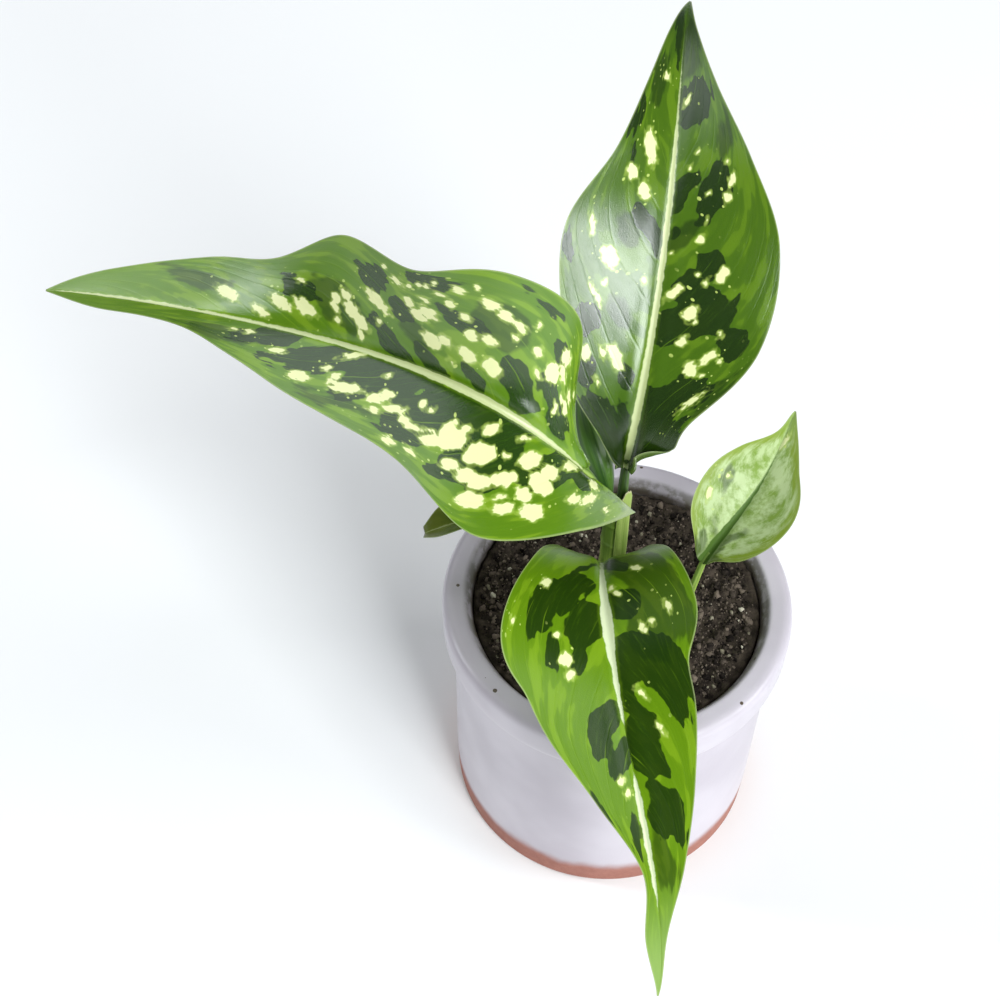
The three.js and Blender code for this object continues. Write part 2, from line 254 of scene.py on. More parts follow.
def pot_outline():
    """The pot's section from the middle of its underside round to the middle of its floor."""
    stretches = [
        ([(FOOT_R - FOOT_ROUND, 0)], 6),
        ([(FOOT_R, 0), (FOOT_R, FOOT_ROUND)], 8),
        ([(FOOT_R + 0.2, 12)], 6),
        ([(BODY_TOP_R, COLLAR_FOOT - 6)], 24),
        ([(BODY_TOP_R, COLLAR_FOOT - 2), (RIM_R, COLLAR_FOOT - 2), (RIM_R, COLLAR_FOOT + 3)], 16),
        ([(RIM_R, POT_HIGH - LIP_ROUND)], 4),
        ([(RIM_R, POT_HIGH), (RIM_R - LIP_ROUND, POT_HIGH)], 12),
        ([(MOUTH_R + 1.2, POT_HIGH)], 3),
        ([(MOUTH_R, POT_HIGH), (MOUTH_R - 0.4, POT_HIGH - 1.2)], 6),
        ([(BORE_TOP_R, SOIL_TOP)], 3),
        ([(BORE_FOOT_R, 2 * FLOOR_THICK)], 12),
        ([(BORE_FOOT_R, FLOOR_THICK), (BORE_FOOT_R - FLOOR_THICK, FLOOR_THICK)], 6),
        ([(0, FLOOR_THICK)], 6),
    ]
    rows = []
    corner = (0, 0)
    for bend, steps in stretches:
        rows.append(bezier([corner, *bend], np.linspace(0, 1, steps + 1)[:-1])[0])
        corner = bend[-1]
    return np.vstack([*rows, [corner]])


pot = turned("pot_glazed", pot_outline(), POT_SIDES, glaze_material())
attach(pot, "root")
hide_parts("pot")

# The soil is dark potting mix, loose and lumpy on top, filled in to just under the pot's mouth.
# Crumbs of peat and bark lie on it, with pale grains of grit among them, and the cane and the
# small leaf's stalk stand in it.
GAP = 0.3
CANE_X = -2.8
CANE_Y = 3.0
CANE_R = 3.2
CANE_TOP = 128.0
SMALL_STALK = (18.5, -3.0)
SMALL_STALK_R = 1.3
SOIL_RINGS = 96
SOIL_SIDES = 300
CRUMBS = 1100
FINES = 6500
GRAINS = 230
CLEAR_OF_POT = 1.6


def soil_level(x, y):
    """How high the soil's top stands at a place, the same lumps as in the part, with finer ones."""
    lumps = np.sin(0.52 * x + 1.3) * np.cos(0.47 * y - 0.6)
    crumbs = np.sin(1.1 * x - 0.9 * y) + np.cos(0.8 * x + 1.25 * y + 2)
    places = zip(np.ravel(x), np.ravel(y))
    fine = np.array([noise.fractal((0.7 * a, 0.7 * b, 4.0), 0.6, 2.2, 4) for a, b in places])
    return SOIL_TOP - 0.6 + 0.9 * lumps + 0.35 * crumbs + 0.7 * fine.reshape(np.shape(x))


def read(tree, label, output="Fac"):
    """A value that the mesh holds at each of its points."""
    return put(tree, "ShaderNodeAttribute", attribute_name=label).outputs[output]


def soil_material(name, dark, light, roughness):
    material, tree, shader = new_material(name)
    spot = own_place(tree)
    grain = cloud(tree, spot, 900, 5, 0.72)
    share = maths(tree, "MULTIPLY_ADD", grain, 0.55, times(tree, read(tree, "tone"), 0.6))
    colour = mixed(tree, rise(tree, share, 0.2, 0.85), dark, light)
    fill(tree, shader.inputs, {"Base Color": colour, "Roughness": roughness, "Specular IOR Level": 0.12})
    roughened(tree, shader, 0.8, 0.5, grain)
    return material


def soil_bed():
    """The body of soil: its lumpy top, its side just clear of the pot and its flat underside."""
    turn = np.linspace(0, 2 * np.pi, SOIL_SIDES, endpoint=False)
    radius = np.linspace(BORE_TOP_R - 3 * GAP, 0.4, SOIL_RINGS)
    x = np.outer(radius, np.cos(turn))
    y = np.outer(radius, np.sin(turn))
    top = np.stack([x, y, soil_level(x, y)], axis=-1)
    wall = (
        (BORE_FOOT_R - FLOOR_THICK - GAP, FLOOR_THICK + GAP),
        (BORE_FOOT_R - 2 * GAP, 2 * FLOOR_THICK + GAP),
        (BORE_TOP_R - GAP, SOIL_TOP - CLEAR_OF_POT),
    )
    circle = np.stack([np.cos(turn), np.sin(turn)], axis=-1)
    side = [np.column_stack([r * circle, np.full(SOIL_SIDES, z)]) for r, z in wall]
    rings = np.concatenate([np.array(side), top])
    faces = ring_faces(len(rings), SOIL_SIDES)
    faces.append(tuple(range(SOIL_SIDES))[::-1])
    faces.append(tuple(range((len(rings) - 1) * SOIL_SIDES, len(rings) * SOIL_SIDES)))
    points = rings.reshape(-1, 3)
    tone = np.array([noise.noise((0.35 * a, 0.35 * b, 9.0)) for a, b, c in points]) * 0.5 + 0.4
    mould = soil_material("potting soil", paint(22, 18, 15), paint(86, 76, 66), 0.95)
    return mesh_piece("soil_bed", points, faces, mould, {"tone": tone})


def lump_shape(rounds):
    """The points and triangles of a ball made of even triangles, as the start of a crumb."""
    ball = bmesh.new()
    bmesh.ops.create_icosphere(ball, subdivisions=rounds, radius=1)
    ball.verts.index_update()
    points = np.array([corner.co[:] for corner in ball.verts])
    faces = np.array([[corner.index for corner in face.verts] for face in ball.faces])
    ball.free()
    return points, faces


def scattered(name, count, smallest, largest, rounds, lifted, material, seed):
    """Seeded crumbs of uneven shape that lie on the soil, clear of the cane and the pot."""
    draw = np.random.default_rng(seed)
    ball, triangles = lump_shape(rounds)
    points = []
    faces = []
    tones = []
    while len(points) < count:
        reach = (BORE_TOP_R - 2.4) * math.sqrt(draw.random())
        turn = draw.random() * 2 * math.pi
        x = reach * math.cos(turn)
        y = reach * math.sin(turn)
        size = smallest + (largest - smallest) * draw.random() ** 2.2
        clear_of_cane = math.hypot(x - CANE_X, y - CANE_Y) > CANE_R + size + GAP
        clear_of_stalk = math.hypot(x - SMALL_STALK[0], y - SMALL_STALK[1]) > SMALL_STALK_R + size + GAP
        if reach + size > BORE_TOP_R - CLEAR_OF_POT or not clear_of_cane or not clear_of_stalk:
            continue
        twist = np.linalg.qr(draw.normal(size=(3, 3)))[0]
        shift = draw.random(3) * 50
        bumps = np.array([noise.noise(Vector(p * 1.3 + shift)) for p in ball])
        across = size * np.array([1.0, 0.65 + 0.3 * draw.random(), 0.7])
        shape = (ball * (1 + 0.65 * bumps[:, None]) * across) @ twist
        level = soil_level(np.array([x]), np.array([y]))[0]
        points.append(shape + np.array([x, y, level + size * lifted]))
        faces.append(triangles + (len(points) - 1) * len(ball))
        tones.append(np.full(len(ball), draw.random() ** 2))
    tone = np.concatenate(tones)
    return mesh_piece(name, np.vstack(points), np.vstack(faces), material, {"tone": tone})


peat = soil_material("crumbs of peat and bark", paint(19, 15, 13), paint(117, 105, 93), 0.95)
grit = soil_material("pale grit", paint(120, 113, 94), paint(208, 202, 182), 0.8)
soil_pieces = [
    soil_bed(),
    scattered("soil_crumbs", CRUMBS, 0.45, 1.4, 2, 0.0, peat, 3),
    scattered("soil_fines", FINES, 0.2, 0.6, 1, 0.2, peat, 5),
    scattered("soil_grit", GRAINS, 0.2, 1.0, 2, 0.3, grit, 8),
]
for piece in soil_pieces:
    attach(piece, "root")
    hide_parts("soil")

# The cane is the plant's short upright stem, green and fleshy, with the rings of fallen leaves
# round it. It was cut back once, and the leaf stalks grow from its side and its top.
CANE_FOOT = 60.0
CANE_RINGS = (92.0, 101.5, 112.0, 120.5)


def along(values, t):
    """Even Catmull-Rom interpolation of a list of values or points, over 0 to 1."""
    rows = np.array(values, float)
    last = len(rows) - 1
    place = np.clip(t, 0, 1) * last
    i = np.minimum(place.astype(int), last - 1)
    f = place - i
    if rows.ndim > 1:
        f = f[:, None]
    b = rows[i]
    c = rows[i + 1]
    first = (i == 0)[:, None] if rows.ndim > 1 else i == 0
    final = (i == last - 1)[:, None] if rows.ndim > 1 else i == last - 1
    a = np.where(first, 2 * b - c, rows[np.maximum(i - 1, 0)])
    d = np.where(final, 2 * c - b, rows[np.minimum(i + 2, last)])
    return b + 0.5 * f * (c - a + f * (2 * a - 5 * b + 4 * c - d + f * (3 * (b - c) + d - a)))


def run_along(points):
    """How far along a row of points each one lies."""
    return np.concatenate([[0], np.cumsum(np.linalg.norm(np.diff(points, axis=0), axis=1))])


def tube(route, radii, steps, sides, swell=None):
    """A stalk along a route: its points, its faces and the way its grain runs."""
    fine = along(route, np.linspace(0, 1, 400))
    run = run_along(fine)
    wanted = np.linspace(0, run[-1], steps + 1)
    centre = np.stack([np.interp(wanted, run, fine[:, k]) for k in range(3)], axis=1)
    ahead = np.gradient(centre, axis=0)
    ahead /= np.linalg.norm(ahead, axis=1, keepdims=True)
    side = np.cross(ahead[0], [0.13, 0.99, 0.05])
    share = np.linspace(0, 1, steps + 1)
    radius = along(radii, share)
    turn = np.linspace(0, 2 * np.pi, sides, endpoint=False)
    points = []
    for i in range(steps + 1):
        side = side - ahead[i] * side.dot(ahead[i])
        side /= np.linalg.norm(side)
        other = np.cross(ahead[i], side)
        out = radius[i] * (np.ones(sides) if swell is None else swell(wanted[i], share[i], turn))
        points.append(centre[i] + np.outer(out * np.cos(turn), side) + np.outer(out * np.sin(turn), other))
    points = np.vstack([*points, centre[:1], centre[-1:]])
    faces = []
    for a, b, c, d in ring_faces(steps + 1, sides):
        faces.append((a, b, c))
        faces.append((a, c, d))
    faces += end_faces(steps + 1, sides)
    run_out = np.concatenate([np.repeat(wanted, sides), [0, wanted[-1]]])
    around = np.concatenate([np.tile(turn, steps + 1), [0, 0]])
    grain = np.stack([run_out, 3 * np.cos(around), 3 * np.sin(around)], axis=1)
    return points, np.array(faces), {"grain": grain}


def fibre_group():
    """Fine lengthwise fibres of a stalk, which run along its grain and differ from side to side."""
    inputs = {"Grain": "Vector", "Fresh": "Color", "Pale": "Color"}
    tree, given, wanted = new_group("Fibres", inputs, {"Color": "Color", "Height": "Float"})
    broad = cloud(tree, stretched(tree, given["Grain"], (0.025, 0.45, 0.45)), 1.0, 2)
    thin = cloud(tree, stretched(tree, given["Grain"], (0.06, 3.4, 3.4)), 1.0, 3)
    share = maths(tree, "MULTIPLY_ADD", broad, 1.3, times(tree, thin, 0.5))
    colour = mixed(tree, rise(tree, share, 0.62, 1.15), given["Fresh"], given["Pale"])
    fill(tree, wanted, {"Color": colour, "Height": thin})
    return tree


fibres = fibre_group()


def stalk_material(name, fresh, pale, roughness):
    material, tree, shader = new_material(name)
    strands = placed(tree, fibres, {"Grain": read(tree, "grain", "Vector"), "Fresh": fresh, "Pale": pale})
    fill(tree, shader.inputs, {"Base Color": strands["Color"], "Roughness": roughness})
    roughened(tree, shader, 0.35, 0.2, strands["Height"])
    return material


def cane_swell(run, share, turn):
    """A raised ring at each leaf scar, and a faint flat down the cane's sides."""
    height = CANE_FOOT + run
    rings = sum(0.07 * math.exp(-((height - z) / 0.55) ** 2) for z in CANE_RINGS)
    return 1 + rings + 0.02 * np.cos(3 * turn) - 0.04 * (share > 0.985)


cane_points, cane_faces, cane_fields = tube(
    [(CANE_X, CANE_Y, z) for z in (CANE_FOOT, 82, 105, CANE_TOP)], [CANE_R] * 4, 150, 48, cane_swell)
cane_finish = stalk_material("green cane", paint(98, 130, 42), paint(158, 184, 86), 0.42)
cane = mesh_piece("cane_stem", cane_points, cane_faces, cane_finish, cane_fields)
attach(cane, "root")
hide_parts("cane")

# The sheath is the dry, papery scale of a spent leaf. It still clings round the right and the
# front of the cane, split open down one side and drawn out to a soft point at the top.
SHEATH_THICK = 0.45
SHEATH_FOOT = 105.0
SHEATH_SHOULDER = CANE_TOP - 6
SHEATH_POINT = 14.0
SHEATH_TURNS = (-82.0, 80.0)
SHEATH_COLUMNS = 60
SHEATH_ROWS = 70


def between(upper, lower):
    """Faces that close a thin body between two like grids of points, all of one size."""
    rows, columns = upper.shape[:2]
    number = np.arange(rows * columns).reshape(rows, columns)
    under = number + rows * columns
    faces = []
    for i in range(rows - 1):
        for j in range(columns - 1):
            faces.append((number[i, j], number[i, j + 1], number[i + 1, j + 1], number[i + 1, j]))
            faces.append((under[i, j], under[i + 1, j], under[i + 1, j + 1], under[i, j + 1]))
    rim = [*number[0, :-1], *number[:-1, -1], *number[-1, :0:-1], *number[:0:-1, 0]]
    for a, b in zip(rim, rim[1:] + rim[:1]):
        faces.append((a, a + rows * columns, b + rows * columns, b))
    return np.vstack([upper.reshape(-1, 3), lower.reshape(-1, 3)]), faces


def sheath_mesh():
    across = np.linspace(0, 1, SHEATH_COLUMNS)
    share = np.linspace(0, 1, SHEATH_ROWS)[:, None]
    turn = np.radians(SHEATH_TURNS[0] + (SHEATH_TURNS[1] - SHEATH_TURNS[0]) * across)
    frayed = 0.5 * np.sin(31 * across) * np.sin(12 * across) + 0.25 * np.sin(77 * across)
    top = SHEATH_SHOULDER + SHEATH_POINT * np.sin(np.pi * np.sqrt(across)) ** 1.5 + 0.6 * frayed
    z = SHEATH_FOOT + (top - SHEATH_FOOT) * share
    pleat = 0.1 * np.sin(20 * across + 2 * share) + 0.12 * np.sin(9 * across - 3 * share)
    shells = []
    for thick in (SHEATH_THICK, 0.0):
        r = CANE_R + 1.6 * GAP + thick * (1 - 0.5 * share) + pleat
        shells.append(np.stack([CANE_X + r * np.cos(turn), CANE_Y + r * np.sin(turn), z], axis=-1))
    points, faces = between(*shells)
    grain = np.stack([points[:, 2], 14 * np.tile(across, 2 * SHEATH_ROWS), np.zeros(len(points))], axis=1)
    nearest = np.minimum((1 - across) * 9, (1 - share) * (top - SHEATH_FOOT))
    return points, faces, {"grain": grain, "edge": np.tile(nearest.ravel(), 2)}


def papery_material():
    material, tree, shader = new_material("papery sheath")
    grain = read(tree, "grain", "Vector")
    greens = {"Fresh": paint(122, 150, 58), "Pale": paint(172, 192, 104)}
    strands = placed(tree, fibres, {"Grain": grain, **greens})
    pores = placed(tree, specks, {"Vector": grain, "Scale": 0.9, "Size": 0.3, "Share": 0.3})["Mask"]
    spotted = mixed(tree, times(tree, pores, 0.6), strands["Color"], paint(112, 96, 66))
    dry = times(tree, rise(tree, read(tree, "edge"), 0.8, 0.2), 0.8)
    colour = mixed(tree, dry, spotted, paint(190, 182, 148))
    fill(tree, shader.inputs, {"Base Color": colour, "Roughness": 0.6})
    roughened(tree, shader, 0.6, 0.3, strands["Height"])
    return material


sheath_points, sheath_faces, sheath_fields = sheath_mesh()
sheath = mesh_piece("sheath_paper", sheath_points, sheath_faces, papery_material(), sheath_fields)
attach(sheath, "root")
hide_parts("sheath")

# The back leaf is the tall one, upright and cupped, on a short stalk from the cane's top. Like
# every blade here it is one leathery sheet, patched in dark and light green and flecked with
# cream, with a sunk pale midrib on its face and a round rib on its back.
BLADE_THICK = 0.5
RIB_DEEP = 1.3
MIDRIB_SUNK = 0.7
STALK_UNDER = 1.1
TIP_HALF = 0.25
VEIN_REACH = 1.15
VEIN_BEND = 0.85
VEIN_CLOSE = 0.45
VEIN_STEP = 5.2
BLADE_VALUES = ("cream", "dark", "shade", "out", "edge", "tip", "rib")
CREAM = (230, 234, 172)
EDGING = (132, 156, 44)


def blade_frame(leaf, t):
    """Along the midrib: its points, the way ahead, the way across to the right, and up."""
    point, ahead = bezier(leaf["midrib"], t)
    base = np.array(leaf["midrib"][0], float)
    tip = np.array(leaf["midrib"][-1], float)
    level = np.array([tip[1] - base[1], base[0] - tip[0], 0])
    level = level / np.linalg.norm(level)
    across = level - ahead * (ahead @ level)[:, None]
    across /= np.linalg.norm(across, axis=1, keepdims=True)
    up = np.cross(across, ahead)
    roll = np.radians(along(leaf["roll"], t))[:, None]
    across = across * np.cos(roll) + up * np.sin(roll)
    return point, ahead, across, np.cross(across, ahead)


def mark_field(points, ways, t, u, marks):
    """How far inside the nearest mark each point of a half blade lies, in millimetres.

    A mark is its place along the blade, 0 to 1, its place out to the margin, below 0 on the left
    half, and its length and width in millimetres.
    """
    field = np.full(points.shape[:2], -9.0)
    for place, out, long, wide in marks:
        i = np.abs(t - place).argmin()
        j = np.abs(u - abs(out)).argmin()
        off = points - points[i, j]
        ahead = off @ ways[i, j]
        beside = np.sqrt(np.maximum((off ** 2).sum(axis=2) - ahead ** 2, 0))
        reach = np.hypot(2 * ahead / long, 2 * beside / wide)
        field = np.maximum(field, (1 - reach) * min(long, wide) / 2)
    return field


def half_blade(leaf, side, t, u):
    """The right (1) or left (-1) half of a blade: its points and what its finish reads."""
    half = leaf["right" if side > 0 else "left"]
    point, ahead, across, up = blade_frame(leaf, t)
    run = run_along(point)
    wide = np.maximum(along(half["wide"], t), TIP_HALF)
    lift = np.radians(along(half["lift"], t))[:, None]
    sweep = along(half["sweep"], t)[:, None] * u ** 1.5
    slope = (side * across * np.cos(lift) + up * np.sin(lift)) * wide[:, None]
    points = point[:, None] + slope[:, None] * u[:, None] + ahead[:, None] * sweep[..., None]
    out = wide[:, None] * u
    runs = run[:, None] + sweep
    vein = run[:, None] + VEIN_REACH * wide.max() * np.log(1 - VEIN_BEND * u)
    by_row, by_column = [change[..., None] for change in np.gradient(vein)]
    ways = np.gradient(points, axis=1) * by_row - np.gradient(points, axis=0) * by_column
    ways /= np.maximum(np.linalg.norm(ways, axis=2, keepdims=True), 1e-9)

    def field(kind):
        return mark_field(points, ways, t, u, [m for m in leaf.get(kind, []) if m[1] * side > 0])

    place = np.full(out.shape, leaf["seed"] + 40.0 * side)
    return {
        "points": points, "run": runs, "out": out, "edge": wide[:, None] - out, "cream": field("cream"),
        "dark": np.minimum(field("dark"), -field("green")), "shade": field("shade"),
        "rib": np.broadcast_to(along(leaf["rib_line"], t)[:, None], out.shape),
        "grain": np.stack([runs + 0.6 * out, VEIN_CLOSE * vein, place], axis=-1),
    }


def whole_blade(leaf, rows, columns):
    """A blade's two faces as one closed mesh, met at a fine margin, with its finish's values."""
    t = np.linspace(0, 1, rows)
    spread_u = np.sin(np.linspace(0, 1, columns) * np.pi / 2) ** 1.15
    left = half_blade(leaf, -1, t, spread_u)
    right = half_blade(leaf, 1, t, spread_u)
    grid = {k: np.concatenate([left[k][:, :0:-1], right[k]], axis=1) for k in right}
    points = grid["points"]
    count = points.shape[1]
    normal = np.cross(np.gradient(points, axis=1), np.gradient(points, axis=0))
    normal /= np.maximum(np.linalg.norm(normal, axis=2, keepdims=True), 1e-9)
    out = grid["out"]
    edge = grid["edge"]
    run = grid["run"]
    fade = np.clip(edge / 2.5, 0, 1)
    shrink = np.clip(1.08 - t, 0.05, 1)[:, None]
    groove = -MIDRIB_SUNK * np.exp(-(out / (1.3 * shrink)) ** 2) + 0.22 * np.exp(-((out - 3.2) / 1.6) ** 2)
    beside = grid["grain"][..., 1]
    waves = np.sin(2 * np.pi * beside / VEIN_STEP + 1.7 * np.sin(beside * 0.19 + leaf["seed"]))
    quilt = 0.018 * waves + 0.08 * np.sin(0.11 * grid["grain"][..., 0] + 0.17 * run)
    wavy = np.sin(run * 0.21 + leaf["seed"]) * np.sin(run * 0.083 + 1)
    ripple = leaf["ripple"] * np.exp(-edge / 4) * wavy
    relief = (groove + quilt * np.clip(out / 3, 0, 1)) * fade * shrink + ripple * shrink - 0.02
    upper = points + normal * relief[..., None]
    thick = BLADE_THICK * (1 - 0.75 * np.exp(-edge / 0.7))
    rib = leaf["rib"] * (1 - t)[:, None] * np.sqrt(np.clip(1 - (out / (1.9 * shrink)) ** 2, 0, 1))
    lower = upper - normal * (thick + rib)[..., None]
    number = np.arange(rows * count).reshape(rows, count)
    inner = np.full((rows, count), -1)
    inner[:-1, 1:-1] = rows * count + np.arange((rows - 1) * (count - 2)).reshape(rows - 1, count - 2)
    under = np.where(inner < 0, number, inner)
    face = np.stack([number[:-1, :-1], number[:-1, 1:], number[1:, 1:], number[1:, :-1]], axis=-1)
    back = np.stack([under[:-1, :-1], under[1:, :-1], under[1:, 1:], under[:-1, 1:]], axis=-1)
    base = np.stack([number[0, :-1], under[0, :-1], under[0, 1:], number[0, 1:]], axis=-1)
    quads = np.vstack([face.reshape(-1, 4), back.reshape(-1, 4), base]).tolist()
    faces = [corners for corners in (tuple(dict.fromkeys(quad)) for quad in quads) if len(corners) > 2]

    def both(values):
        """The values of the face's points, then of the back's, which has no margin of its own."""
        shape = (-1, *values.shape[2:])
        return np.concatenate([values.reshape(shape), values[:-1, 1:-1].reshape(shape)])

    whole = np.vstack([upper.reshape(-1, 3), lower[:-1, 1:-1].reshape(-1, 3)])
    grid["tip"] = np.broadcast_to(t[:, None], out.shape)
    fields = {label: both(grid[label]) for label in (*BLADE_VALUES, "grain")}
    fields["face"] = np.concatenate([np.ones(rows * count), np.zeros((rows - 1) * (count - 2))])
    return whole, faces, fields


def blade_group():
    """The pattern of a blade's face: green patches, pale veins, cream flecks, midrib and margin."""
    values = [*(label.title() for label in BLADE_VALUES), "Cloudy", "Dots"]
    colours = ("Green", "Fresh", "Deep", "Fleck", "Midrib", "Tip Green And Sheen", "Edging")
    inputs = {"Grain": "Vector", **dict.fromkeys(values, "Float"), **dict.fromkeys(colours, "Color")}
    outputs = {"Color": "Color", "Height": "Float", "Pale": "Float"}
    tree, given, wanted = new_group("Blade pattern", inputs, outputs)
    grain = given["Grain"]

    def blotches(lengthwise, crosswise, detail, rough):
        """Noise with so many changes in a millimetre, along the veins and across them."""
        return cloud(tree, stretched(tree, grain, (lengthwise, crosswise, 1.0)), 1.0, detail, rough)

    broad = blotches(0.07, 0.2, 2, 0.5)
    thin = blotches(0.12, 1.3, 3, 0.6)
    cells = blotches(2.6, 3.6, 3, 0.6)
    stepped = times(tree, rise(tree, broad, 0.535, 0.55), 0.35)
    tone = maths(tree, "MULTIPLY_ADD", rise(tree, broad, 0.45, 0.62), 0.5, stepped)
    streak = maths(tree, "MULTIPLY_ADD", rise(tree, thin, 0.35, 0.75), 0.12, tone)
    mottled = blotches(0.16, 0.3, 5, 0.68)
    mottling = times(tree, rise(tree, mottled, 0.36, 0.6), given["Cloudy"])
    crisp = times(tree, streak, maths(tree, "SUBTRACT", 1.0, given["Cloudy"]))
    mixed_green = mixed(tree, maths(tree, "ADD", crisp, mottling), given["Green"], given["Fresh"])
    near_edge = rise(tree, maths(tree, "MULTIPLY_ADD", mottled, 6.0, given["Edge"]), 6.5, 3.5)
    edging = times(tree, times(tree, near_edge, given["Cloudy"]), 0.9)
    edged = mixed(tree, edging, mixed_green, given["Edging"])
    # Toward the tip the green turns into the tip colour, which on the front blade is partly painted sheen.
    plain_green = mixed(tree, rise(tree, given["Tip"], 0.74, 0.95), edged, given["Tip Green And Sheen"])
    ragged = blotches(0.12, 0.2, 2.5, 0.5)
    uneven = times(tree, maths(tree, "SUBTRACT", ragged, 0.5), 6.0)
    shaded = rise(tree, maths(tree, "ADD", uneven, given["Shade"]), -0.7, 0.5)
    green = mixed(tree, times(tree, shaded, 0.66), plain_green, given["Deep"])
    dark_mask = rise(tree, maths(tree, "ADD", uneven, given["Dark"]), -0.15, 0.15)
    deep = mixed(tree, times(tree, rise(tree, thin, 0.5, 0.8), 0.2), given["Deep"], given["Green"])
    spotted = mixed(tree, times(tree, dark_mask, 0.94), green, deep)
    sides = put(tree, "ShaderNodeSeparateXYZ", {"Vector": grain}).outputs["Y"]
    bent = maths(tree, "MULTIPLY_ADD", broad, 1.6, sides)
    nearest = maths(tree, "PINGPONG", bent, VEIN_STEP / 2)
    fading = times(tree, rise(tree, cloud(tree, grain, 0.09, 1), 0.45, 0.65), 0.5)
    vein = times(tree, rise(tree, nearest, 0.16, 0.04), fading)
    patched = mixed(tree, vein, spotted, given["Fresh"])
    rough = blotches(0.5, 0.75, 1, 0.4)
    cream_edge = maths(tree, "MULTIPLY_ADD", maths(tree, "SUBTRACT", rough, 0.5), 1.9, given["Cream"])
    halo = rise(tree, cream_edge, -0.65, 0.05)
    cream_mask = rise(tree, cream_edge, -0.1, 0.25)
    haloed = mixed(tree, times(tree, halo, 0.6), patched, paint(170, 194, 84))
    dotted = times(tree, given["Dots"], rise(tree, given["Cream"], -4.0, -1.2))
    speckled = mixed(tree, times(tree, dotted, 0.8), haloed, paint(196, 214, 112))
    flecked = mixed(tree, cream_mask, speckled, given["Fleck"])
    notch = blotches(0.28, 0.0, 3, 0.6)
    wobble = maths(tree, "MULTIPLY_ADD", maths(tree, "SUBTRACT", notch, 0.5), 1.3, given["Out"])
    near_rib = maths(tree, "SUBTRACT", given["Rib"], wobble)
    rib_mask = rise(tree, near_rib, -0.12, 0.22)
    beside_rib = times(tree, rise(tree, near_rib, -1.1, 0.0), 0.35)
    ribbed = mixed(tree, rib_mask, mixed(tree, beside_rib, flecked, given["Fresh"]), given["Midrib"])
    margin = rise(tree, given["Edge"], 0.4, 0.12)
    bordered = mixed(tree, times(tree, margin, 0.5), ribbed, paint(176, 190, 130))
    sunk = times(tree, rise(tree, nearest, 0.4, 0.0), -0.3)
    fine = maths(tree, "MULTIPLY_ADD", thin, 0.18, times(tree, cells, 0.7))
    height = maths(tree, "ADD", fine, sunk)
    pale = maths(tree, "MAXIMUM", cream_mask, rib_mask)
    fill(tree, wanted, {"Color": bordered, "Height": height, "Pale": pale})
    return tree


blade_pattern = blade_group()


def leaf_material(name, green, fresh, dark, back, gloss, rib=(196, 206, 150), tip=(98, 136, 26),
                  cloudy=0.0, rough=0.19):
    """A blade's finish, with its pattern on the face and the same pattern dulled on the back."""
    material, tree, shader = new_material(name)
    grain = read(tree, "grain", "Vector")
    dots = placed(tree, specks, {"Vector": grain, "Scale": 0.55, "Size": 0.3, "Share": 0.4})["Mask"]
    pattern = placed(tree, blade_pattern, {
        "Grain": grain, **{label.title(): read(tree, label) for label in BLADE_VALUES}, "Cloudy": cloudy,
        "Dots": dots, "Green": paint(*green), "Fresh": paint(*fresh), "Deep": paint(*dark),
        "Fleck": paint(*CREAM), "Midrib": paint(*rib), "Tip Green And Sheen": paint(*tip), "Edging": paint(*EDGING),
    })
    dulled = mixed(tree, 0.62, pattern["Color"], paint(*back))
    colour = mixed(tree, rise(tree, read(tree, "face"), 0.4, 0.6), dulled, pattern["Color"])
    dull = spread(tree, pattern["Pale"], rough, rough + 0.12)
    fill(tree, shader.inputs, {"Base Color": colour, "Roughness": dull, "Specular IOR Level": gloss})
    roughened(tree, shader, 0.4, 0.16, pattern["Height"])
    return material


def leaf_stalk(leaf, route, radii, material, name):
    """The stalk, which runs up into the thick base of its blade's midrib."""
    point, ahead, across, up = blade_frame(leaf, np.array([0.0]))
    joint = point[0] - up[0] * (BLADE_THICK + STALK_UNDER)
    points, faces, fields = tube([*route, joint, joint + ahead[0] * 4], radii, 60, 24)
    return mesh_piece(name, points, faces, material, fields)


def leaf_pieces(node, leaf, rows, columns, finish, route, radii, stalk_finish):
    """A leaf's blade and stalk, which together stand for one piece of the part."""
    points, faces, fields = whole_blade(leaf, rows, columns)
    blade = mesh_piece(node + "_blade", points, faces, finish, fields)
    stalk = leaf_stalk(leaf, route, radii, stalk_finish, node + "_stalk")
    for piece in (blade, stalk):
        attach(piece, "root")
        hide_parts(node)


green_stalk = stalk_material("green stalk", paint(84, 118, 34), paint(150, 176, 78), 0.45)

